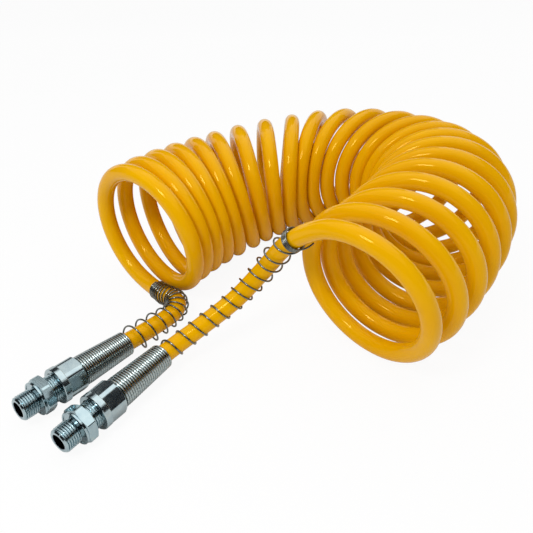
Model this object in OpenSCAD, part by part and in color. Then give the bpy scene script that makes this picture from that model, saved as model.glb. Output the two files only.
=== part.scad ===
// Coiled air hose with two threaded end fittings, lying bent round in an arch on the floor.
// Sizes in millimetres, +Z up, floor at z = 0, origin under the middle of the whole hose.
// Each fitting is drawn along its own X axis: x = 0 at the thread's tip, the hose at the far end.

/* [Hose] */
// Outside diameter of the hose
hose_od = 13; // [11:0.5:13]
// Bore of the hose
hose_id = 9; // [6:0.5:9.5]
// Radius of a turn, to the middle of the hose
coil_r = 51; // [49:0.5:52]

/* [Connector] */
// Crest diameter of the port thread
port_thread_d = 16; // [14:0.5:18]
// Pitch of the port thread
port_pitch = 1.5; // [1:0.25:1.5]
// Air bore of the connector
air_bore_d = 10; // [7:0.5:10]
// Diameter of the flange behind the port thread
flange_d = 22.4; // [21:0.2:24]
// Width across the flats of the connector's hexagon
connector_af = 22; // [20:0.5:23]
// Diameter of the neck that the nut turns on
neck_d = 18; // [17:0.5:18]

/* [Nut] */
// Width across the flats of the nut
nut_af = 22; // [21:0.5:23]
// Diameter of the nut's round collar
nut_d = 24.4; // [23:0.2:24.6]
// Length of the nut
nut_len = 17.5; // [17:0.5:20]
// Radial clearance of the nut on the neck
nut_play = 0.05; // [0.03:0.01:0.08]

/* [Springs] */
// Wire of the guard springs and tail springs
wire_d = 1.1; // [0.9:0.1:1.1]
// Curls of each guard spring
guard_curls = 22; // [14:1:22]

/* [Hidden] */
$fn = 96;
hose_r = hose_od / 2;
wire_r = wire_d / 2;

// The coil at its stations (in turns): heading, lean and skew in degrees, pitch and how much
// a turn's radius is over coil_r, in mm.
station = [0.5, 2, 4, 6.5, 9, 11.5, 13.5, 15, 16.5, 18, 19.5, 21, 22.2, 23.2];
heading = [65, 57, 48, 41, 27, -9, -44, -72, -102, -118, -125, -126, -144, -114];
pitch = [16.7, 18.6, 18.6, 22.2, 23, 23.5, 24.2, 22.1, 19.4, 22.5, 26.1, 24.7, 23, 38.2];
lean = [-6, -7, -9, -12, 0, -1, -2, -4, -8, -4, -4, 4, 10, 10];
skew = [-15, -15, -19, -31, -34, -35, -30, -19, 1, 7, 4, 0, 11, -22];
swell = [-1.1, -1.5, -2.1, -2.7, -2.4, -0.5, 1.1, 2.2, 2.8, 2.3, 1.8, 1.2, 0.8, 0.5];
coil_start = [-121.1, -10.8];
first_turn = 0.5;
turn_rings = 16;
coil_rings = 361;
foot_cut = hose_od / 10;
floor_w = 500;

// Free hose from the coil to each fitting.
left_route = [[-106.6, -21.2, 10], [-101.4, -26.8, 12.6], [-96.6, -32.8, 13.6],
    [-94, -39.6, 13.5], [-94.8, -46.4, 12.7], [-98.8, -52.4, 11.9], [-110, -64.8, 11.2]];
front_route = [[-1.7, -75.9, 96.2], [-15, -64, 81.5], [-29, -58.6, 61.5],
    [-48.5, -65.5, 40.5], [-72.4, -78.5, 24.5]];

// Thread tip, azimuth and tilt of each fitting's axis, and the turn of its two hexagons.
left_tip = [-176.3, -143.8, 13.4];
left_az = 51;
left_tilt = -2;
left_connector_turn = 8;
left_nut_turn = 8;
front_tip = [-145.2, -166.7, 12.4];
front_az = 55.5;
front_tilt = 0.8;
front_connector_turn = 31;
front_nut_turn = 45;

// Places along a fitting's axis.
thread_x = 1;
thread_turns = 7;
flange_x = 11.4;
hex_x = 12.9;
neck_x = 19.5;
nut_x = 25.5;
socket_x = 26.6;
cone_x = 30;
neck_end_x = 34;
shoulder_x = 35.5;
nut_end_x = nut_x + nut_len;
left_guard_end = 82.5;
front_guard_end = 86;
flange_r = flange_d / 2;
port_r = port_thread_d / 2;
neck_r = neck_d / 2;
bore_r = neck_r + nut_play;
socket_r = hose_r + 0.05;
rear_r = hose_r + 0.1;
face_edge = 1.4;
face_recess = 0.3;
insert_wall = 0.75;
insert_len = 14.9;
insert_rim = 0.9;

// Springs.
guard_r0 = 9.5;
guard_r1 = 8;
guard_sides = 7;
curl_sides = 8;
left_band = 3;
left_open = 13;
front_band = 2;
front_open = 12;
band_pitch = 2.4;
band_start = 10;
spring_lead = 2;
left_spring_r = hose_r + 1.6;
front_spring_r = hose_r + 2.1;
spring_end_r = hose_r + 1.2;

steel = [0.80, 0.82, 0.82];
nut_steel = [0.72, 0.75, 0.76];
spring_steel = [0.62, 0.64, 0.65];
yellow = [0.95, 0.68, 0.05];

// ---- small functions

function unit(v) = v / norm(v);
function at(t, values) = lookup(t, [for (i = [0:len(station) - 1]) [station[i], values[i]]]);
function turn_r(t) = coil_r + at(t, swell);
function flat_dir(a) = [cos(a), sin(a)];
function step_turn(t) = at(t, pitch) / turn_rings * flat_dir(at(t, heading));

// Middle of the coil's arch at each ring, then the middle of the hose itself.
coil_spine = [for (i = 0, c = coil_start; i <= coil_rings;
    i = i + 1, c = c + step_turn(first_turn + (i - 0.5) / turn_rings))
    [c[0], c[1], turn_r(first_turn + i / turn_rings) + hose_r - foot_cut]];
function side_dir(t) = flat_dir(at(t, heading) + at(t, skew));
function up_dir(t) = let (s = side_dir(t), l = at(t, lean)) [sin(l) * s[0], sin(l) * s[1], cos(l)];
function out_dir(t) = let (s = side_dir(t)) [s[1], -s[0], 0];
function spoke(t) = cos(360 * t) * up_dir(t) + sin(360 * t) * out_dir(t);
coil_turn = [for (i = [0:coil_rings]) first_turn + i / turn_rings];
coil_line = [for (i = [0:coil_rings]) coil_spine[i] + turn_r(coil_turn[i]) * spoke(coil_turn[i])];

// Directions along a line, and rings of a tube square to it with their first corner toward u.
function along(p) = [for (i = [0:len(p) - 1])
    unit(p[min(i + 1, len(p) - 1)] - p[max(i - 1, 0)])];
function square_to(u, t) = unit(u - (u * t) * t);
function tube_points(p, t, u, r, n) = [for (i = [0:len(p) - 1]) for (k = [0:n - 1])
    let (a = 360 * k / n, v = square_to(u[i], t[i]), w = cross(t[i], v))
    p[i] + r * (cos(a) * v + sin(a) * w)];
function tube_faces(m, n) = concat(
    [for (k = [1:n - 2]) [0, k, k + 1]],
    [for (k = [1:n - 2]) [(m - 1) * n, (m - 1) * n + k + 1, (m - 1) * n + k]],
    [for (i = [0:m - 2]) for (k = [0:n - 1]) [i * n + k, (i + 1) * n + k, i * n + (k + 1) % n]],
    [for (i = [0:m - 2]) for (k = [0:n - 1])
        [(i + 1) * n + k, (i + 1) * n + (k + 1) % n, i * n + (k + 1) % n]]);

// A smooth line through route points p that leaves along d0 and arrives along d1.
function reach(p, i) = norm(p[i + 1] - p[i]);
function knot_dir(p, i, d0, d1) = i == 0 ? d0 : i == len(p) - 1 ? d1
    : (p[i + 1] - p[i - 1]) / (reach(p, i) + reach(p, i - 1));
function on_route(p, i, f, d0, d1) = let (l = reach(p, i))
    (2 * pow(f, 3) - 3 * pow(f, 2) + 1) * p[i]
    + (pow(f, 3) - 2 * pow(f, 2) + f) * l * knot_dir(p, i, d0, d1)
    + (3 * pow(f, 2) - 2 * pow(f, 3)) * p[i + 1]
    + (pow(f, 3) - pow(f, 2)) * l * knot_dir(p, i + 1, d0, d1);
function smooth(p, d0, d1, n) = concat(
    [for (i = [0:len(p) - 2]) for (k = [0:n - 1]) on_route(p, i, k / n, d0, d1)],
    [p[len(p) - 1]]);

// The free hose ends where its fitting's guard spring ends.
function axis_dir(az, tilt) = [cos(tilt) * cos(az), cos(tilt) * sin(az), sin(tilt)];
left_dir = axis_dir(left_az, left_tilt);
front_dir = axis_dir(front_az, front_tilt);
left_in = unit(left_route[0] - coil_line[0]);
front_in = unit(front_route[0] - coil_line[coil_rings]);
left_knots = concat(left_route, [left_tip + left_guard_end * left_dir]);
front_knots = concat(front_route, [front_tip + front_guard_end * front_dir]);
left_line = smooth(left_knots, left_in, -left_dir, 3);
front_line = smooth(front_knots, front_in, -front_dir, 3);

// A spring wound round a line: winding number to distance along, and to radius.
function run_table(p) = [for (i = 0, s = 0; i < len(p);
    s = s + (i < len(p) - 1 ? norm(p[i + 1] - p[i]) : 0), i = i + 1) [s, i]];
function pick(p, x) = let (i = min(floor(x), len(p) - 2)) p[i] + (x - i) * (p[i + 1] - p[i]);
function wound(p, runs, far, near, n) = [for (j = [0:far]) let (w = j / curl_sides,
    x = lookup(lookup(w, runs), run_table(p)), t = unit(pick(along(p), x)),
    u = square_to([0, 0, 1], t), v = cross(t, u), a = 360 * w, r = lookup(w, near))
    pick(p, x) + r * (cos(a) * u + sin(a) * v)];

// The line of a spring with both ends run straight for one wire diameter.
function straight_ends(p, d0, d1) = concat([p[0] - wire_d * d0], p, [p[len(p) - 1] + wire_d * d1]);

left_fine = smooth(left_knots, left_in, -left_dir, 6);
front_fine = smooth(front_knots, front_in, -front_dir, 6);
left_run = run_table(left_fine)[len(left_fine) - 1][0];
front_run = run_table(front_fine)[len(front_fine) - 1][0];
left_curls = left_band + left_open;
front_curls = front_band + front_open;
left_wire = straight_ends(
    wound(left_fine, [[0, spring_lead], [left_band, spring_lead + left_band * band_pitch],
        [left_curls, left_run - 2 * spring_lead]], left_curls * curl_sides,
        [[0, left_spring_r], [left_band, left_spring_r], [left_curls, spring_end_r]]),
    unit(left_fine[1] - left_fine[0]), -left_dir);
front_wire = straight_ends(
    wound(front_fine, [[0, band_start], [front_band, band_start + front_band * band_pitch],
        [front_curls, front_run - 2 * spring_lead]], front_curls * curl_sides,
        [[0, front_spring_r], [front_band + 4, front_spring_r],
        [front_curls, spring_end_r]]),
    front_dir * -1, -front_dir);

// The guard spring: a tapering close spring along the fitting's axis.
guard_x0 = nut_end_x + wire_d;
function guard_line(end) = let (step = (end - wire_d - wire_r - guard_x0) / guard_curls)
    straight_ends(
        [for (j = [0:guard_curls * guard_sides]) let (w = j / guard_sides, a = 360 * w,
            r = guard_r0 + (guard_r1 - guard_r0) * w / guard_curls)
            [guard_x0 + step * w, r * cos(a), r * sin(a)]],
        [1, 0, 0], [1, 0, 0]);

// Least gap of each wound tube to itself, measured on its points a turn apart.
function self_gap(p, n, d) = min([for (i = [0:len(p) - 1]) for (k = [n - 3:n + 3])
    if (i + k < len(p)) norm(p[i] - p[i + k])]) - d;
coil_gap = self_gap(coil_line, turn_rings, hose_od);
short_guard = guard_line(min(left_guard_end, front_guard_end));
guard_gap = self_gap([for (i = [1:len(short_guard) - 2]) short_guard[i]], guard_sides, wire_d);
left_gap = self_gap([for (i = [1:len(left_wire) - 2]) left_wire[i]], curl_sides, wire_d);
front_gap = self_gap([for (i = [1:len(front_wire) - 2]) front_wire[i]], curl_sides, wire_d);
echo(coil_gap = coil_gap, guard_gap = guard_gap, left_gap = left_gap, front_gap = front_gap);
echo(left_run = left_run, front_run = front_run, coil_end = coil_line[coil_rings]);

// ---- small modules, all along X

module bar(x0, x1, r) {
    translate([x0, 0, 0]) rotate([0, 90, 0]) cylinder(h = x1 - x0, r = r);
}

// A turned piece from points of radius and place along the axis.
module turned(p) {
    rotate([0, 90, 0]) rotate_extrude() polygon(p);
}

module hex_bar(x0, x1, af, turn) {
    translate([x0, 0, 0]) rotate([turn, 0, 0]) rotate([0, 90, 0]) rotate([0, 0, 30])
        cylinder(h = x1 - x0, r = af / 2 / cos(30), $fn = 6);
}

module left_place() {
    translate(left_tip) rotate([0, -left_tilt, left_az]) children();
}

module front_place() {
    translate(front_tip) rotate([0, -front_tilt, front_az]) children();
}

// ---- pieces of a fitting

module connector_body(turn) {
    root_r = port_r - 0.92;
    last_x = thread_x + (thread_turns - 1) * port_pitch + 0.3;
    difference() {
        union() {
            turned(concat(
                [[0, 0], [port_r - 0.9, 0]],
                [for (k = [0:thread_turns - 2]) for (q = [[port_r, 0], [port_r, 0.3],
                    [root_r, 0.75], [root_r, 1.05]])
                    [q[0], thread_x + k * port_pitch + q[1]]],
                [[port_r, last_x - 0.3], [port_r, last_x], [port_r - 1.1, last_x + 0.5],
                [port_r - 1.1, flange_x + face_recess],
                [flange_r - face_edge, flange_x + face_recess], [flange_r - face_edge, flange_x],
                [flange_r - 0.2, flange_x], [flange_r, flange_x + 0.2], [flange_r, hex_x - 0.2],
                [flange_r - 0.2, hex_x], [neck_r, hex_x + 1], [neck_r, neck_end_x - 0.5],
                [neck_r - 0.5, neck_end_x], [0, neck_end_x]]));
            intersection() {
                hex_bar(hex_x - 0.1, neck_x, connector_af, turn);
                turned([[0, hex_x - 0.2], [flange_r - 0.2, hex_x - 0.2],
                    [flange_r + 1, hex_x + 0.5], [flange_r + 1, neck_x - 0.9],
                    [flange_r - 0.3, neck_x], [0, neck_x]]);
            }
        }
        bar(-1, socket_x + 0.1, air_bore_d / 2);
        bar(socket_x, cone_x, socket_r);
        turned([[0, cone_x - 0.1], [socket_r, cone_x - 0.1], [socket_r, cone_x],
            [socket_r + 0.85, neck_end_x], [socket_r + 1.06, neck_end_x + 1], [0, neck_end_x + 1]]);
    }
}

module insert_body() {
    in_r = hose_id / 2 - insert_wall;
    x = socket_x + 0.1;
    turned([[in_r, x], [hose_r - 0.1, x], [hose_r - 0.1, x + insert_rim],
        [hose_id / 2, x + insert_rim], [hose_id / 2, x + insert_len], [in_r, x + insert_len]]);
}

module ring_body() {
    turned([[hose_r, cone_x + 1.2], [socket_r + 0.2, cone_x + 1.2], [socket_r + 0.79, neck_end_x],
        [socket_r + 0.83, neck_end_x + 0.25], [bore_r - 0.1, neck_end_x + 0.25],
        [bore_r - 0.1, shoulder_x - 0.05], [bore_r - 2.4, shoulder_x + 2.25],
        [hose_r, shoulder_x + 2.25]]);
}

module nut_body(turn) {
    collar = 4.5;
    difference() {
        union() {
            turned([[0, nut_x], [nut_d / 2 - 0.5, nut_x], [nut_d / 2, nut_x + 0.5],
                [nut_d / 2, nut_x + collar], [0, nut_x + collar]]);
            intersection() {
                hex_bar(nut_x + collar - 0.5, nut_end_x, nut_af, turn);
                turned([[0, nut_x + collar - 0.6], [nut_d / 2, nut_x + collar - 0.6],
                    [nut_d / 2, nut_end_x - 1.5], [nut_d / 2 - 1.3, nut_end_x], [0, nut_end_x]]);
            }
        }
        turned([[0, nut_x - 1], [bore_r + 0.5, nut_x - 1], [bore_r + 0.5, nut_x],
            [bore_r, nut_x + 0.5], [bore_r, shoulder_x], [rear_r, shoulder_x + bore_r - rear_r],
            [rear_r, nut_end_x + 1], [0, nut_end_x + 1]]);
    }
}

module guard_body(end) {
    p = guard_line(end);
    polyhedron(tube_points(p, along(p), [for (q = p) [0, q[1], q[2]]], wire_r, 4),
        tube_faces(len(p), 4), convexity = 10);
}

module hose_end_body(end) {
    difference() {
        bar(socket_x + 0.1 + insert_rim, end, hose_r);
        bar(socket_x, end + 1, hose_id / 2);
    }
}

module free_hose(p, d0, d1) {
    t = concat([d0], [for (i = [1:len(p) - 2]) along(p)[i]], [d1]);
    polyhedron(tube_points(p, t, [for (q = p) [0, 0, 1]], hose_r, 12),
        tube_faces(len(p), 12), convexity = 6);
}

module tail_spring_body(wire, line) {
    polyhedron(tube_points(wire, along(wire), [for (q = wire) [0, 0, 1]], wire_r, 4),
        tube_faces(len(wire), 4), convexity = 10);
}

// ---- the coil

module hose_coil() {
    color(yellow) difference() {
        p = concat([left_route[0]], coil_line, [front_route[0]]);
        u = concat([spoke(first_turn)], [for (t = coil_turn) spoke(t)],
            [spoke(coil_turn[coil_rings])]);
        polyhedron(tube_points(p, along(p), u, hose_r, 6), tube_faces(len(p), 6),
            convexity = 20);
        translate([-floor_w / 2, -floor_w / 2, -hose_od]) cube([floor_w, floor_w, hose_od]);
    }
}

// ---- left fitting, from the thread's tip to the coil

module left_connector() {
    color(steel) left_place() connector_body(left_connector_turn);
}

module left_tube_insert() {
    color([0.8, 0.65, 0.3]) left_place() insert_body();
}

module left_cutting_ring() {
    color(spring_steel) left_place() ring_body();
}

module left_nut() {
    color(nut_steel) left_place() nut_body(left_nut_turn);
}

module left_guard_spring() {
    color(spring_steel) left_place() guard_body(left_guard_end);
}

module left_hose_end() {
    color(yellow) left_place() hose_end_body(left_guard_end);
}

module left_tail() {
    color(yellow) free_hose(left_line, left_in, -left_dir);
}

module left_tail_spring() {
    color(spring_steel) tail_spring_body(left_wire);
}

// ---- front fitting, from the thread's tip to the coil

module front_connector() {
    color(steel) front_place() connector_body(front_connector_turn);
}

module front_tube_insert() {
    color([0.8, 0.65, 0.3]) front_place() insert_body();
}

module front_cutting_ring() {
    color(spring_steel) front_place() ring_body();
}

module front_nut() {
    color(nut_steel) front_place() nut_body(front_nut_turn);
}

module front_guard_spring() {
    color(spring_steel) front_place() guard_body(front_guard_end);
}

module front_hose_end() {
    color(yellow) front_place() hose_end_body(front_guard_end);
}

module front_tail() {
    color(yellow) free_hose(front_line, front_in, -front_dir);
}

module front_tail_spring() {
    color(spring_steel) tail_spring_body(front_wire);
}

hose_coil();
left_connector();
left_tube_insert();
left_cutting_ring();
left_nut();
left_guard_spring();
left_hose_end();
left_tail();
left_tail_spring();
front_connector();
front_tube_insert();
front_cutting_ring();
front_nut();
front_guard_spring();
front_hose_end();
front_tail();
front_tail_spring();
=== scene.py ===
import math

import bpy
import numpy as np
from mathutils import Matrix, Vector


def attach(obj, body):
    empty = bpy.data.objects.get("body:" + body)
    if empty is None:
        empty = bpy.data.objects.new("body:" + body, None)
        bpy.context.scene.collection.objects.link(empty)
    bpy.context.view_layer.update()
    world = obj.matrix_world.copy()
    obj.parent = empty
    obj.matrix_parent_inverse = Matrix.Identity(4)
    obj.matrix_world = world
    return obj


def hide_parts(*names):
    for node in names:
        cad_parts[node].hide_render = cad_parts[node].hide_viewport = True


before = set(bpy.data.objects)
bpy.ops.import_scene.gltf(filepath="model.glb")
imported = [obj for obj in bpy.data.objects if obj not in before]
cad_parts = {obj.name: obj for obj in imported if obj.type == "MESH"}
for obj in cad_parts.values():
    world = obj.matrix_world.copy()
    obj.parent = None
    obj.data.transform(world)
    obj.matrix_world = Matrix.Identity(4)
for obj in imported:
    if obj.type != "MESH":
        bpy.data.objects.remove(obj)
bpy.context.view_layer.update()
scene = bpy.context.scene
scene.view_settings.view_transform = "Standard"

# ---- Camera
# A long lens looks down on the arch from the side where both fittings lie.
# The image is square, 533 by 533 pixels, and its centre is shifted a little.
IMAGE_SIDE = 533
FOCAL_PIXELS = 568.79
AXIS_PIXEL = (260.27, 233.71)
SENSOR_WIDTH = 36
CAMERA_DISTANCE = 0.46
CAMERA_ELEVATION = math.radians(30)
look_at = Vector((-0.0313, 0.0125, 0.045))
camera_data = bpy.data.cameras.new("studio_camera")
camera_data.sensor_fit = "HORIZONTAL"
camera_data.sensor_width = SENSOR_WIDTH
camera_data.lens = FOCAL_PIXELS / IMAGE_SIDE * SENSOR_WIDTH
camera_data.shift_x = (IMAGE_SIDE / 2 - AXIS_PIXEL[0]) / IMAGE_SIDE
camera_data.shift_y = (AXIS_PIXEL[1] - IMAGE_SIDE / 2) / IMAGE_SIDE
camera_data.clip_start = 0.01
camera = bpy.data.objects.new("studio_camera", camera_data)
scene.collection.objects.link(camera)
camera.location = look_at + CAMERA_DISTANCE * Vector((0, -math.cos(CAMERA_ELEVATION), math.sin(CAMERA_ELEVATION)))
camera.rotation_euler = (math.pi / 2 - CAMERA_ELEVATION, 0, 0)
scene.camera = camera

# ---- Hose
# One length of extruded nylon tube, 13 mm outside and 9 mm inside, heat-set into a right-handed coil.
# The coil lies bent round in an arch; its two free tails run to the fittings at the front left.
HOSE_RADIUS = 0.0065
HOSE_SIDES = 24
TURN_RADIUS = 0.051
COIL_START = (-0.1211, -0.0108)
# By turn: the arch's heading in degrees, mm along it a turn, the turn's lean and its skew from the
# heading in degrees, and what its radius gains in mm.
STATION = [0.5, 2, 4, 6.5, 9, 11.5, 13.5, 15, 16.5, 18, 19.5, 21, 22.2, 23.2]
HEADING = [65, 57, 48, 41, 27, -9, -44, -72, -102, -118, -125, -126, -144, -114]
PITCH = [16.7, 18.6, 18.6, 22.2, 23, 23.5, 24.2, 22.1, 19.4, 22.5, 26.1, 24.7, 23, 38.2]
LEAN = [-6, -7, -9, -12, 0, -1, -2, -4, -8, -4, -4, 4, 10, 10]
SKEW = [-15, -15, -19, -31, -34, -35, -30, -19, 1, 7, 4, 0, 11, -22]
SWELL = [-1.1, -1.5, -2.1, -2.7, -2.4, -0.5, 1.1, 2.2, 2.8, 2.3, 1.8, 1.2, 0.8, 0.5]
FIRST_TURN = 0.5
LAST_TURN = 23.0625
RINGS_A_TURN = 80


def at_turn(turn, values):
    """What a table of the coil gives at a place counted in turns."""
    return np.interp(turn, STATION, values)


def coil_centreline():
    """Points along the middle of the hose through all its turns."""
    turns = np.arange(FIRST_TURN, LAST_TURN + 1e-9, 1 / RINGS_A_TURN)
    middle = turns[1:] - 0.5 / RINGS_A_TURN
    heading = np.radians(at_turn(middle, HEADING))
    step = at_turn(middle, PITCH) / RINGS_A_TURN / 1000
    x = COIL_START[0] + np.concatenate([[0], np.cumsum(step * np.cos(heading))])
    y = COIL_START[1] + np.concatenate([[0], np.cumsum(step * np.sin(heading))])
    side = np.radians(at_turn(turns, HEADING) + at_turn(turns, SKEW))
    lean = np.radians(at_turn(turns, LEAN))
    up = np.stack([np.sin(lean) * np.cos(side), np.sin(lean) * np.sin(side), np.cos(lean)], 1)
    out = np.stack([np.sin(side), -np.cos(side), 0 * side], 1)
    angle = 2 * math.pi * turns
    radius = TURN_RADIUS + at_turn(turns, SWELL) / 1000
    spine = np.stack([x, y, radius + HOSE_RADIUS], 1)
    return spine + radius[:, None] * (np.cos(angle)[:, None] * up + np.sin(angle)[:, None] * out)


def axis_of(azimuth, tilt):
    """The direction of a fitting's axis, from its thread towards the hose, by two angles in degrees."""
    a, t = math.radians(azimuth), math.radians(tilt)
    return np.array([math.cos(t) * math.cos(a), math.cos(t) * math.sin(a), math.sin(t)])


def smooth_route(points, start, end, steps):
    """A smooth line through given points that leaves along start and arrives along end."""
    p = [np.array(q, float) for q in points]
    reach = [np.linalg.norm(b - a) for a, b in zip(p, p[1:])]
    slope = [np.array(start)]
    slope += [(p[i + 1] - p[i - 1]) / (reach[i] + reach[i - 1]) for i in range(1, len(p) - 1)]
    slope += [np.array(end)]
    line = []
    for i, length in enumerate(reach):
        for k in range(steps):
            f = k / steps
            line.append((2 * f**3 - 3 * f**2 + 1) * p[i] + (3 * f**2 - 2 * f**3) * p[i + 1]
                        + (f**3 - 2 * f**2 + f) * length * slope[i] + (f**3 - f**2) * length * slope[i + 1])
    return np.array(line + [p[-1]])


def unit(v):
    return np.array(v) / np.linalg.norm(v)


def wire_sweep():
    """Geometry nodes that sweep a round section along a path, with its length and round measure kept."""
    tree = bpy.data.node_groups.new("round_section_along_path", "GeometryNodeTree")
    face = tree.interface
    face.new_socket("Path", in_out="INPUT", socket_type="NodeSocketGeometry")
    face.new_socket("Section radius", in_out="INPUT", socket_type="NodeSocketFloat")
    face.new_socket("Section sides", in_out="INPUT", socket_type="NodeSocketInt")
    face.new_socket("Finish", in_out="INPUT", socket_type="NodeSocketMaterial")
    face.new_socket("Swept piece", in_out="OUTPUT", socket_type="NodeSocketGeometry")
    n, l = tree.nodes, tree.links
    entry, leave = n.new("NodeGroupInput"), n.new("NodeGroupOutput")
    section = n.new("GeometryNodeCurvePrimitiveCircle")
    l.new(entry.outputs["Section radius"], section.inputs["Radius"])
    l.new(entry.outputs["Section sides"], section.inputs["Resolution"])
    keep = []
    for source, name in ((entry.outputs["Path"], "along_path"), (section.outputs["Curve"], "round_path")):
        measure = n.new("GeometryNodeSplineParameter")
        store = n.new("GeometryNodeStoreNamedAttribute")
        store.data_type, store.domain = "FLOAT", "POINT"
        store.inputs["Name"].default_value = name
        l.new(source, store.inputs["Geometry"])
        l.new(measure.outputs["Length" if name == "along_path" else "Factor"], store.inputs["Value"])
        keep.append(store.outputs["Geometry"])
    sweep = n.new("GeometryNodeCurveToMesh")
    sweep.inputs["Fill Caps"].default_value = True
    l.new(keep[0], sweep.inputs["Curve"])
    l.new(keep[1], sweep.inputs["Profile Curve"])
    smooth, real, paint = (n.new("GeometryNodeSetShadeSmooth"), n.new("GeometryNodeRealizeInstances"),
                           n.new("GeometryNodeSetMaterial"))
    l.new(sweep.outputs["Mesh"], smooth.inputs["Geometry"])
    l.new(smooth.outputs["Geometry"], real.inputs["Geometry"])
    l.new(real.outputs["Geometry"], paint.inputs["Geometry"])
    l.new(entry.outputs["Finish"], paint.inputs["Material"])
    l.new(paint.outputs["Geometry"], leave.inputs["Swept piece"])
    return tree


sweep_tree = wire_sweep()


def swept(name, path, radius, sides, finish):
    """A piece of round section along a path, as a plain mesh at the origin."""
    line = bpy.data.curves.new(name + "_path", "CURVE")
    line.dimensions = "3D"
    spline = line.splines.new("POLY")
    spline.points.add(len(path) - 1)
    spline.points.foreach_set("co", np.c_[path, np.ones(len(path))].ravel())
    carrier = bpy.data.objects.new(name + "_path", line)
    scene.collection.objects.link(carrier)
    modifier = carrier.modifiers.new("sweep", "NODES")
    modifier.node_group = sweep_tree
    sockets = {s.name: s.identifier for s in sweep_tree.interface.items_tree if s.in_out == "INPUT"}
    modifier[sockets["Section radius"]] = radius
    modifier[sockets["Section sides"]] = sides
    modifier[sockets["Finish"]] = finish
    bpy.context.view_layer.update()
    solved = carrier.evaluated_get(bpy.context.evaluated_depsgraph_get())
    mesh = bpy.data.meshes.new_from_object(solved)
    bpy.data.objects.remove(carrier)
    mesh.name = name
    piece = bpy.data.objects.new(name, mesh)
    scene.collection.objects.link(piece)
    return piece


# The nylon is dyed right through, glossy from the die, with faint draw lines along its length.
hose_nylon = bpy.data.materials.new("golden_nylon")
hose_nylon.use_nodes = True
nodes, links = hose_nylon.node_tree.nodes, hose_nylon.node_tree.links
shader = nodes["Principled BSDF"]
shader.inputs["Specular IOR Level"].default_value = 0.28
shader.inputs["IOR"].default_value = 1.53
shader.inputs["Specular Tint"].default_value = (1.0, 0.74, 0.2, 1)
place = nodes.new("ShaderNodeTexCoord")
mottle = nodes.new("ShaderNodeTexNoise")
mottle.inputs["Scale"].default_value = 18  # cloudy shades some 50 mm across
mottle.inputs["Detail"].default_value = 3
links.new(place.outputs["Object"], mottle.inputs["Vector"])
dye = nodes.new("ShaderNodeValToRGB")
dye.color_ramp.elements[0].position = 0.3
dye.color_ramp.elements[0].color = (0.80, 0.387, 0.0008, 1)
dye.color_ramp.elements[1].position = 0.72
dye.color_ramp.elements[1].color = (0.85, 0.445, 0.0010, 1)
links.new(mottle.outputs["Fac"], dye.inputs["Fac"])
links.new(dye.outputs["Color"], shader.inputs["Base Color"])
along = nodes.new("ShaderNodeAttribute")
along.attribute_name = "along_path"
around = nodes.new("ShaderNodeAttribute")
around.attribute_name = "round_path"
turn = nodes.new("ShaderNodeMath")
turn.operation = "MULTIPLY"
turn.inputs[1].default_value = 2 * math.pi
links.new(around.outputs["Fac"], turn.inputs[0])
cosine, sine, slow = (nodes.new("ShaderNodeMath") for _ in range(3))
cosine.operation, sine.operation, slow.operation = "COSINE", "SINE", "MULTIPLY"
slow.inputs[1].default_value = 6
links.new(turn.outputs[0], cosine.inputs[0])
links.new(turn.outputs[0], sine.inputs[0])
links.new(along.outputs["Fac"], slow.inputs[0])
surface = nodes.new("ShaderNodeCombineXYZ")
links.new(cosine.outputs[0], surface.inputs["X"])
links.new(sine.outputs[0], surface.inputs["Y"])
links.new(slow.outputs[0], surface.inputs["Z"])
draw = nodes.new("ShaderNodeTexNoise")
draw.inputs["Scale"].default_value = 5
draw.inputs["Detail"].default_value = 4
links.new(surface.outputs[0], draw.inputs["Vector"])
polish = nodes.new("ShaderNodeMapRange")
polish.inputs["To Min"].default_value = 0.06
polish.inputs["To Max"].default_value = 0.12
links.new(draw.outputs["Fac"], polish.inputs["Value"])
links.new(polish.outputs[0], shader.inputs["Roughness"])
ripple = nodes.new("ShaderNodeBump")
ripple.inputs["Strength"].default_value = 0.05
ripple.inputs["Distance"].default_value = 0.0002
links.new(draw.outputs["Fac"], ripple.inputs["Height"])
links.new(ripple.outputs[0], shader.inputs["Normal"])

TRIM = 3  # the coil's end rings, which the tails take over
coil = coil_centreline()
fitting = {
    "left": {"tip": np.array([-0.1763, -0.1438, 0.0134]), "azimuth": 51, "tilt": -2, "length": 0.0825},
    "front": {"tip": np.array([-0.1452, -0.1667, 0.0124]), "azimuth": 55.5, "tilt": 0.8, "length": 0.086},
}
for end in fitting.values():
    end["axis"] = axis_of(end["azimuth"], end["tilt"])
    end["guard_end"] = end["tip"] + end["length"] * end["axis"]
left_points = [coil[TRIM], [-0.1066, -0.0212, 0.0092], [-0.1014, -0.0268, 0.0112], [-0.0966, -0.0328, 0.0124],
               [-0.094, -0.0396, 0.0135], [-0.0948, -0.0464, 0.0127], [-0.0988, -0.0524, 0.0119],
               [-0.11, -0.0648, 0.0112], fitting["left"]["guard_end"]]
front_points = [coil[-TRIM], [-0.0017, -0.0759, 0.0965], [-0.015, -0.064, 0.0795], [-0.029, -0.0590, 0.0575],
                [-0.0485, -0.0660, 0.0378], [-0.0724, -0.0785, 0.0235], fitting["front"]["guard_end"]]
fitting["left"]["tail"] = smooth_route(left_points, unit(coil[TRIM] - coil[TRIM + 1]),
                                       -fitting["left"]["axis"], 8)
fitting["front"]["tail"] = smooth_route(front_points, unit(coil[-TRIM] - coil[-TRIM - 1]),
                                        -fitting["front"]["axis"], 10)
hose_path = np.concatenate([fitting["left"]["tail"][::-1], coil[TRIM + 1:-TRIM], fitting["front"]["tail"]])
hose = swept("hose", hose_path, HOSE_RADIUS, HOSE_SIDES, hose_nylon)
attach(hose, "hose")
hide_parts("hose_coil", "left_tail", "front_tail")
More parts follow.
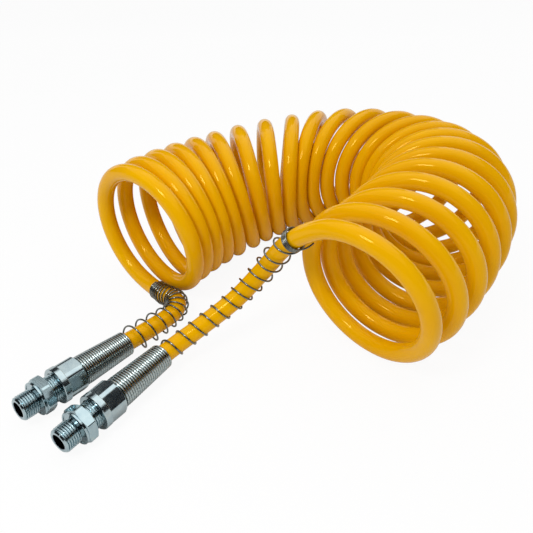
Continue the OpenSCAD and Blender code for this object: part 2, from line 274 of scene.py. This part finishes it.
# The stretches inside the fittings keep their CAD meshes, in the same nylon.
for side in ("left", "front"):
    socket_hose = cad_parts[side + "_hose_end"]
    socket_hose.data.materials.clear()
    socket_hose.data.materials.append(hose_nylon)

# ---- Connectors
# Each is turned from hexagon bar and bright zinc plated: a 16 mm port thread, a flange, a 22 mm
# hexagon, and a neck whose 18 mm thread the nut runs on. A 10 mm bore is drilled through it.
COLUMNS = 96
THREAD_PITCH = 0.0015
AIR_BORE_RADIUS = 0.005
PORT_THREAD_RADIUS = 0.008
FLANGE_AT, FLANGE_RADIUS = 0.0114, 0.0112
HEXAGON_AT = 0.01295
CONNECTOR_FLATS = 0.022
CORNER_REACH, CORNER_CUT = 0.01235, 0.01085
NECK_AT, NECK_RADIUS, NECK_END = 0.0195, 0.009, 0.034
SOCKET_AT, SOCKET_RADIUS = 0.0266, 0.00655
CONE_AT, CONE_RADIUS = 0.030, 0.0074
CONNECTOR_TURN = {"left": 3, "front": 31}  # degrees that the hexagon is turned round its axis
SHARP_EDGE = math.radians(19)


def local_to_row(end, x, y, z):
    """From a fitting's own axis, x along it, to the row frame."""
    a = math.radians(end["azimuth"])
    across = np.array([-math.sin(a), math.cos(a), 0])
    above = np.cross(end["axis"], across)
    return end["tip"] + x * end["axis"] + y * across + z * above


def plain(x, r):
    """A round row at one place along the axis."""
    return lambda angle: (x, r)


def hexagon(x, flats, reach, chamfer_start, chamfer_rise):
    """A six-sided row, with corners cut at reach and moved along the axis where a cone cuts them."""
    def place(angle):
        off = angle - math.pi / 3 * round(angle / (math.pi / 3))
        r = min(flats / 2 / math.cos(off), reach)
        return x + chamfer_rise * max(0, r - chamfer_start), r
    return place


def thread_rows(start, stop, crest, root, lead_in, lead_out):
    """Rows of a right-handed thread between two places, faded in and out at its ends."""
    def row(x):
        def place(angle):
            phase = (x / THREAD_PITCH + angle / (2 * math.pi)) % 1
            tooth = min(1, max(0, 1.9 * abs(2 * phase - 1) - 0.45))
            fade = min(1, max(0, (x - start) / lead_in), max(0, (stop - x) / lead_out))
            return x, root + (crest - root) * tooth * fade
        return place
    return [row(x) for x in np.arange(start, stop + 1e-9, THREAD_PITCH / 12)]


def turned_piece(name, end, rows, finish, first_flat):
    """A closed ring of rows round a fitting's axis. The first flat's middle is at angle first_flat."""
    places = []
    for c in range(COLUMNS):
        angle = 2 * math.pi * c / COLUMNS
        y, z = math.cos(angle + first_flat), math.sin(angle + first_flat)
        for row in rows:
            x, r = row(angle)
            places.append(local_to_row(end, x, r * y, r * z))
    count = len(rows)
    faces = [(c * count + k, (c + 1) % COLUMNS * count + k,
              (c + 1) % COLUMNS * count + (k + 1) % count, c * count + (k + 1) % count)
             for c in range(COLUMNS) for k in range(count)]
    mesh = bpy.data.meshes.new(name)
    mesh.from_pydata(places, [], faces)
    mesh.materials.append(finish)
    mesh.shade_smooth()
    mesh.set_sharp_from_angle(angle=SHARP_EDGE)
    piece = bpy.data.objects.new(name, mesh)
    scene.collection.objects.link(piece)
    return piece


def plated_steel(name, end, tone, rough_low, rough_high, ring_depth, bore):
    """Zinc over machined steel: a cloudy plate, fine tool rings round the axis, and painted shade in the bore, a
    near-black colour for the shade that falls inside it.
    """
    metal = bpy.data.materials.new(name)
    metal.use_nodes = True
    n, l = metal.node_tree.nodes, metal.node_tree.links
    s = n["Principled BSDF"]
    s.inputs["Metallic"].default_value = 1
    where = n.new("ShaderNodeTexCoord")
    align = n.new("ShaderNodeMapping")
    align.vector_type = "TEXTURE"
    align.inputs["Location"].default_value = end["tip"]
    align.inputs["Rotation"].default_value = (0, -math.radians(end["tilt"]), math.radians(end["azimuth"]))
    l.new(where.outputs["Object"], align.inputs["Vector"])
    cloud = n.new("ShaderNodeTexNoise")
    cloud.inputs["Scale"].default_value = 220
    cloud.inputs["Detail"].default_value = 5
    l.new(align.outputs[0], cloud.inputs["Vector"])
    plate = n.new("ShaderNodeValToRGB")
    plate.color_ramp.elements[0].position = 0.32
    plate.color_ramp.elements[0].color = (tone[0] * 0.80, tone[1] * 0.84, tone[2] * 0.88, 1)
    plate.color_ramp.elements[1].position = 0.68
    plate.color_ramp.elements[1].color = (*tone, 1)
    l.new(cloud.outputs["Fac"], plate.inputs["Fac"])
    square = n.new("ShaderNodeVectorMath")
    square.operation = "MULTIPLY"
    square.inputs[1].default_value = (0, 1, 1)
    l.new(align.outputs[0], square.inputs[0])
    reach = n.new("ShaderNodeVectorMath")
    reach.operation = "LENGTH"
    l.new(square.outputs[0], reach.inputs[0])
    inside = n.new("ShaderNodeMapRange")
    inside.inputs["From Min"].default_value = bore + 0.0001
    inside.inputs["From Max"].default_value = bore + 0.0004
    l.new(reach.outputs["Value"], inside.inputs["Value"])
    # Painted shade: inside the bore's radius the base colour turns near-black, standing in for the shade in the
    # bore.
    bore_painted_shade = n.new("ShaderNodeMix")
    bore_painted_shade.data_type = "RGBA"
    bore_painted_shade.inputs["A"].default_value = (0.06, 0.07, 0.10, 1)
    l.new(inside.outputs[0], bore_painted_shade.inputs["Factor"])
    l.new(plate.outputs["Color"], bore_painted_shade.inputs["B"])
    l.new(bore_painted_shade.outputs["Result"], s.inputs["Base Color"])
    stretch = n.new("ShaderNodeMapping")
    stretch.inputs["Scale"].default_value = (1, 0.02, 0.02)
    l.new(align.outputs[0], stretch.inputs["Vector"])
    tool = n.new("ShaderNodeTexNoise")
    tool.inputs["Scale"].default_value = 6000
    tool.inputs["Detail"].default_value = 2
    l.new(stretch.outputs[0], tool.inputs["Vector"])
    gloss = n.new("ShaderNodeMapRange")
    gloss.inputs["To Min"].default_value = rough_low
    gloss.inputs["To Max"].default_value = rough_high
    l.new(cloud.outputs["Fac"], gloss.inputs["Value"])
    l.new(gloss.outputs[0], s.inputs["Roughness"])
    rings = n.new("ShaderNodeBump")
    rings.inputs["Strength"].default_value = ring_depth
    rings.inputs["Distance"].default_value = 0.00004
    l.new(tool.outputs["Fac"], rings.inputs["Height"])
    l.new(rings.outputs[0], s.inputs["Normal"])
    return metal


for side, end in fitting.items():
    zinc = plated_steel(side + "_connector_zinc", end, (0.39, 0.49, 0.51), 0.07, 0.15, 0.2, AIR_BORE_RADIUS)
    # the port thread, from its chamfered tip
    rows = [plain(0.0, AIR_BORE_RADIUS + 0.0003), plain(0.0, 0.0068), plain(0.0009, 0.0077)]
    rows += thread_rows(0.001, 0.0103, PORT_THREAD_RADIUS, 0.0071, 0.0004, 0.0006)
    # the relief behind it, the groove in the flange's face, and the flange
    rows += [plain(0.0105, 0.0069), plain(0.0117, 0.0069), plain(0.0117, 0.0098), plain(FLANGE_AT, 0.0098),
             plain(FLANGE_AT, FLANGE_RADIUS - 0.0002), plain(0.0116, FLANGE_RADIUS),
             plain(0.0127, FLANGE_RADIUS), plain(0.0129, CORNER_CUT)]
    # the hexagon, whose corners are cut to a cone at both ends
    rows += [hexagon(HEXAGON_AT, CONNECTOR_FLATS, CORNER_REACH, CORNER_CUT, 0.55),
             hexagon(NECK_AT, CONNECTOR_FLATS, CORNER_REACH, CORNER_CUT, -0.55)]
    # the threaded neck
    rows += [plain(NECK_AT, 0.01080), plain(NECK_AT, 0.0084), plain(0.0198, 0.0082), plain(0.0203, 0.0082)]
    rows += thread_rows(0.0204, 0.0336, NECK_RADIUS, 0.0083, 0.0008, 0.0004)
    # back inside: the cone that takes the cutting ring, the hose's socket, and the air bore
    rows += [plain(NECK_END, 0.0082), plain(NECK_END, CONE_RADIUS), plain(CONE_AT, SOCKET_RADIUS),
             plain(SOCKET_AT, SOCKET_RADIUS), plain(SOCKET_AT, AIR_BORE_RADIUS), plain(0.0003, AIR_BORE_RADIUS)]
    first_flat = math.radians(CONNECTOR_TURN[side] - 90)
    connector = turned_piece(side + "_connector_body", end, rows, zinc, first_flat)
    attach(connector, side + "_connector_set")
    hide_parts(side + "_connector")
    end["connector"] = connector

# ---- Tube inserts and cutting rings
# A drawn brass insert stiffens the hose's end inside the connector. A hardened steel ring on the hose
# is pressed into the connector's cone by the nut. Both sit inside and show only through the bore.
DULL_SHARE = 0.7
for name, slot, tone, rough in (("tube_insert", "brass_insert", (0.62, 0.42, 0.16), 0.28),
                                ("cutting_ring", "ring_steel", (0.36, 0.36, 0.37), 0.4)):
    metal = bpy.data.materials.new(slot)
    metal.use_nodes = True
    n, l = metal.node_tree.nodes, metal.node_tree.links
    s = n["Principled BSDF"]
    s.inputs["Metallic"].default_value = 1
    s.inputs["Roughness"].default_value = rough
    where, drawn, shade = n.new("ShaderNodeTexCoord"), n.new("ShaderNodeTexNoise"), n.new("ShaderNodeValToRGB")
    drawn.inputs["Scale"].default_value = 900
    shade.color_ramp.elements[0].color = (*(DULL_SHARE * c for c in tone), 1)
    shade.color_ramp.elements[1].color = (*tone, 1)
    l.new(where.outputs["Object"], drawn.inputs["Vector"])
    l.new(drawn.outputs["Fac"], shade.inputs["Fac"])
    l.new(shade.outputs["Color"], s.inputs["Base Color"])
    for side in fitting:
        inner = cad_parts[f"{side}_{name}"]
        inner.data.materials.clear()
        inner.data.materials.append(metal)

# ---- Nuts
# Each is milled from steel bar and zinc plated: a round collar in front, a 22 mm hexagon behind it
# with a cone-cut rear edge, an 18 mm thread inside, and a shoulder that presses the cutting ring.
NUT_START, NUT_END = 0.0255, 0.043
COLLAR_END = NUT_START + 0.0045
COLLAR_RADIUS = 0.0122
NUT_FLATS = 0.022
NUT_BORE_RADIUS = 0.00905
REAR_BORE_RADIUS = 0.0066
SHOULDER_START, SHOULDER_END = 0.0355, 0.03795
NUT_TURN = {"left": 8, "front": 45}  # degrees that the hexagon is turned round its axis
for side, end in fitting.items():
    zinc = plated_steel(side + "_nut_zinc", end, (0.42, 0.50, 0.51), 0.11, 0.22, 0.12, REAR_BORE_RADIUS)
    # the bore's chamfered mouth, and the round collar
    rows = [plain(NUT_START + 0.0005, NUT_BORE_RADIUS), plain(NUT_START, 0.00955), plain(NUT_START, 0.0118),
            plain(NUT_START + 0.0004, COLLAR_RADIUS), plain(NUT_START + 0.0043, COLLAR_RADIUS),
            plain(COLLAR_END, 0.01205), plain(COLLAR_END, 0.0120)]
    # the hexagon, whose corners are cut to a cone at the rear
    rows += [hexagon(NUT_START + 0.00452, NUT_FLATS, 0.01195, 1, 0),
             hexagon(NUT_END - 0.0001, NUT_FLATS, 0.01215, 0.0104, -0.8)]
    # the rear face, the bore that the hose passes, and the shoulder that presses the cutting ring
    rows += [plain(NUT_END, 0.0104), plain(NUT_END, 0.0068), plain(NUT_END - 0.0002, REAR_BORE_RADIUS),
             plain(SHOULDER_END, REAR_BORE_RADIUS), plain(SHOULDER_START, NUT_BORE_RADIUS)]
    nut = turned_piece(side + "_nut_body", end, rows, zinc, math.radians(NUT_TURN[side] - 90))
    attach(nut, side + "_nut_set")
    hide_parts(side + "_nut")

# ---- Guard springs
# A close-wound spring of 1.7 mm zinc plated wire stands on each nut's rear face and tapers down to
# the hose, so that the hose can't kink at the fitting. It turns with the nut.
GUARD_TURNS = 23
GUARD_WIRE_SHARE = 0.497  # the wire's radius as a share of the step from turn to turn
STEPS_A_TURN = 36


def drawn_wire(name, dull, bright, rough_low, rough_high):
    """Drawn steel wire, whose tone and gloss vary along its length."""
    wire = bpy.data.materials.new(name)
    wire.use_nodes = True
    n, l = wire.node_tree.nodes, wire.node_tree.links
    s = n["Principled BSDF"]
    s.inputs["Metallic"].default_value = 1
    along_wire = n.new("ShaderNodeAttribute")
    along_wire.attribute_name = "along_path"
    drawn = n.new("ShaderNodeTexNoise")
    drawn.noise_dimensions = "1D"
    drawn.inputs["Scale"].default_value = 900
    drawn.inputs["Detail"].default_value = 4
    l.new(along_wire.outputs["Fac"], drawn.inputs["W"])
    tint = n.new("ShaderNodeValToRGB")
    tint.color_ramp.elements[0].position = 0.3
    tint.color_ramp.elements[0].color = (*dull, 1)
    tint.color_ramp.elements[1].position = 0.7
    tint.color_ramp.elements[1].color = (*bright, 1)
    l.new(drawn.outputs["Fac"], tint.inputs["Fac"])
    l.new(tint.outputs["Color"], s.inputs["Base Color"])
    gloss = n.new("ShaderNodeMapRange")
    gloss.inputs["To Min"].default_value = rough_low
    gloss.inputs["To Max"].default_value = rough_high
    l.new(drawn.outputs["Fac"], gloss.inputs["Value"])
    l.new(gloss.outputs[0], s.inputs["Roughness"])
    return wire


guard_zinc = drawn_wire("guard_wire_zinc", (0.25, 0.30, 0.30), (0.44, 0.50, 0.50), 0.09, 0.2)
for side, end in fitting.items():
    turn = np.linspace(0, GUARD_TURNS, GUARD_TURNS * STEPS_A_TURN + 1)
    first, last = NUT_END + 0.0008, end["length"] - 0.0008
    x = first + (last - first) * turn / GUARD_TURNS
    r = np.interp(turn, [0, 2, GUARD_TURNS], [0.00945, 0.0095, 0.0080])
    angle = 2 * math.pi * turn
    path = [local_to_row(end, *p) for p in zip(x, r * np.cos(angle), r * np.sin(angle))]
    wire_radius = GUARD_WIRE_SHARE * (last - first) / GUARD_TURNS
    guard = swept(side + "_guard_wire", path, wire_radius, 12, guard_zinc)
    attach(guard, side + "_nut_set")
    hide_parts(side + "_guard_spring")

# ---- Tail springs
# A loose spring of 1.3 mm wire is slipped over each tail. A few turns lie close together at the coil
# and grip the hose; the others stand apart and keep the bend wide.
TAIL_WIRE_RADIUS = 0.00065
tail_steel = drawn_wire("tail_wire_steel", (0.09, 0.10, 0.09), (0.26, 0.27, 0.25), 0.08, 0.2)


def wound_round(route, turn, place, radius):
    """A line wound round a route, by turn: its distance along the route and from the route's middle."""
    run = np.concatenate([[0], np.cumsum(np.linalg.norm(np.diff(route, axis=0), axis=1))])
    fine = np.linspace(turn[0], turn[-1], int((turn[-1] - turn[0]) * STEPS_A_TURN) + 1)
    where = np.interp(fine, turn, place)
    middle, ahead, behind = (np.stack([np.interp(where + step, run, route[:, i]) for i in range(3)], 1)
                             for step in (0, 0.002, -0.002))
    t = ahead - behind
    t /= np.linalg.norm(t, axis=1)[:, None]
    u = np.array([0, 0, 1]) - t[:, 2:] * t
    u /= np.linalg.norm(u, axis=1)[:, None]
    v = np.cross(t, u)
    angle = (2 * math.pi * fine)[:, None]
    return middle + np.interp(fine, turn, radius)[:, None] * (np.cos(angle) * u + np.sin(angle) * v)


# For each tail: the turn counted, its distance from the coil along the tail, and its radius.
tail_winding = {
    "left": ([0, 3, 5, 13, 14, 15, 16, 17, 17.5],
             [0.0195, 0.0240, 0.0290, 0.0635, 0.0705, 0.0790, 0.0885, 0.0985, 0.1035],
             [0.0072, 0.0072, 0.0078, 0.0082, 0.0088, 0.0094, 0.0097, 0.0098, 0.0098]),
    "front": ([-0.60, -0.45, 3.5, 3.85, 4.85, 5.85, 6.85, 7.85, 8.85, 9.85, 10.85, 11.85, 12.85, 13.85, 14.85, 15.5],
              [0.0290, 0.0362, 0.0415, 0.0490, 0.0603, 0.0695, 0.0800, 0.0897, 0.0984, 0.1076, 0.1181, 0.1270,
               0.1370, 0.1465, 0.1580, 0.1645],
              [0.0098, 0.0079, 0.0079, 0.0083, 0.0086, 0.0086, 0.0084, 0.0081, 0.0077, 0.0073, 0.0072, 0.0072,
               0.0072, 0.0072, 0.0073, 0.0078]),
}
for side, end in fitting.items():
    spring_line = wound_round(end["tail"], *tail_winding[side])
    tail_spring = swept(side + "_tail_wire", spring_line, TAIL_WIRE_RADIUS, 10, tail_steel)
    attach(tail_spring, "hose")
    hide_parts(side + "_tail_spring")

# ---- Floor, lamps and backdrop
# A pale floor under a plain studio: one soft lamp at the front left, a broad one overhead,
# and dark cards on all four sides, which the bright metal mirrors.
FLOOR_REACH = 4
WHITE_SHARE = 0.93  # how much of the floor that the camera sees is plain white; the rest keeps the shadow
FILL_STRENGTH = 0.56
floor_mesh = bpy.data.meshes.new("studio_floor")
floor_mesh.from_pydata([(-FLOOR_REACH, -FLOOR_REACH, 0), (FLOOR_REACH, -FLOOR_REACH, 0),
                        (FLOOR_REACH, FLOOR_REACH, 0), (-FLOOR_REACH, FLOOR_REACH, 0)], [], [(0, 1, 2, 3)])
studio_floor = bpy.data.objects.new("studio_floor", floor_mesh)
scene.collection.objects.link(studio_floor)
pale = bpy.data.materials.new("pale_floor")
pale.use_nodes = True
n, l = pale.node_tree.nodes, pale.node_tree.links
pale_shader = n["Principled BSDF"]
pale_shader.inputs["Base Color"].default_value = (0.9, 0.9, 0.9, 1)
pale_shader.inputs["Roughness"].default_value = 0.8
lift = n.new("ShaderNodeEmission")
lift.inputs["Strength"].default_value = 1
seen = n.new("ShaderNodeLightPath")
share = n.new("ShaderNodeMath")
share.operation = "MULTIPLY"
share.inputs[1].default_value = WHITE_SHARE
mix = n.new("ShaderNodeMixShader")
l.new(seen.outputs["Is Camera Ray"], share.inputs[0])
l.new(share.outputs[0], mix.inputs["Fac"])
l.new(pale_shader.outputs[0], mix.inputs[1])
l.new(lift.outputs[0], mix.inputs[2])
l.new(mix.outputs[0], n["Material Output"].inputs["Surface"])
floor_mesh.materials.append(pale)


def lamp(name, place, target, size, power):
    """A square white lamp of so many metres a side and so many watts, turned to its target."""
    data = bpy.data.lights.new(name, "AREA")
    data.size, data.energy = size, power
    holder = bpy.data.objects.new(name, data)
    scene.collection.objects.link(holder)
    holder.location = place
    holder.rotation_euler = (Vector(target) - Vector(place)).to_track_quat("-Z", "Y").to_euler()


lamp("key_lamp", (-0.33, -0.46, 0.66), (0.0, 0.0, 0.06), 0.2, 2.2)
lamp("overhead_lamp", (0.25, 0.3, 1.4), (0, 0, 0), 1.7, 7)

# One card stands on each side, in the order right, behind, in front, left. Only reflections show them.
card_mesh = bpy.data.meshes.new("dark_card")
card_mesh.from_pydata([(0.8, -0.7, 0.2), (0.8, 0.5, 0.2), (0.65, 0.5, 0.75), (0.65, -0.7, 0.75),
                       (-0.9, 1.0, 0.3), (0.35, 1.0, 0.3), (0.35, 1.0, 1.2), (-0.9, 1.0, 1.2),
                       (-0.9, -0.95, 0.08), (0.9, -0.95, 0.08), (0.9, -0.95, 0.95), (-0.9, -0.95, 0.95),
                       (-0.95, -0.8, 0.08), (-0.95, 0.7, 0.08), (-0.95, 0.7, 0.7), (-0.95, -0.8, 0.7)],
                      [], [(0, 1, 2, 3), (4, 5, 6, 7), (8, 9, 10, 11), (12, 13, 14, 15)])
dark_card = bpy.data.objects.new("dark_cards", card_mesh)
scene.collection.objects.link(dark_card)
black = bpy.data.materials.new("black_card")
black.use_nodes = True
black_shader = black.node_tree.nodes["Principled BSDF"]
black_shader.inputs["Base Color"].default_value = (0.012, 0.013, 0.018, 1)
black_shader.inputs["Roughness"].default_value = 0.9
card_mesh.materials.append(black)
dark_card.visible_camera = False
dark_card.visible_diffuse = False

# The world is a soft fill for what it lights, and white to the camera and in reflections.
world = bpy.data.worlds.new("studio_world")
scene.world = world
world.use_nodes = True
n, l = world.node_tree.nodes, world.node_tree.links
back = n["Background"]
path_kind = n.new("ShaderNodeLightPath")
white = n.new("ShaderNodeBackground")
white.inputs["Color"].default_value = (1, 1, 1, 1)
white.inputs["Strength"].default_value = 1
back.inputs["Color"].default_value = (1, 1, 1, 1)
back.inputs["Strength"].default_value = FILL_STRENGTH
choose = n.new("ShaderNodeMixShader")
shown = path_kind.outputs["Is Camera Ray"]
for kind in ("Is Glossy Ray", "Is Transmission Ray"):
    either = n.new("ShaderNodeMath")
    either.operation = "MAXIMUM"
    l.new(shown, either.inputs[0])
    l.new(path_kind.outputs[kind], either.inputs[1])
    shown = either.outputs[0]
l.new(shown, choose.inputs["Fac"])
l.new(back.outputs[0], choose.inputs[1])
l.new(white.outputs[0], choose.inputs[2])
l.new(choose.outputs[0], n["World Output"].inputs["Surface"])
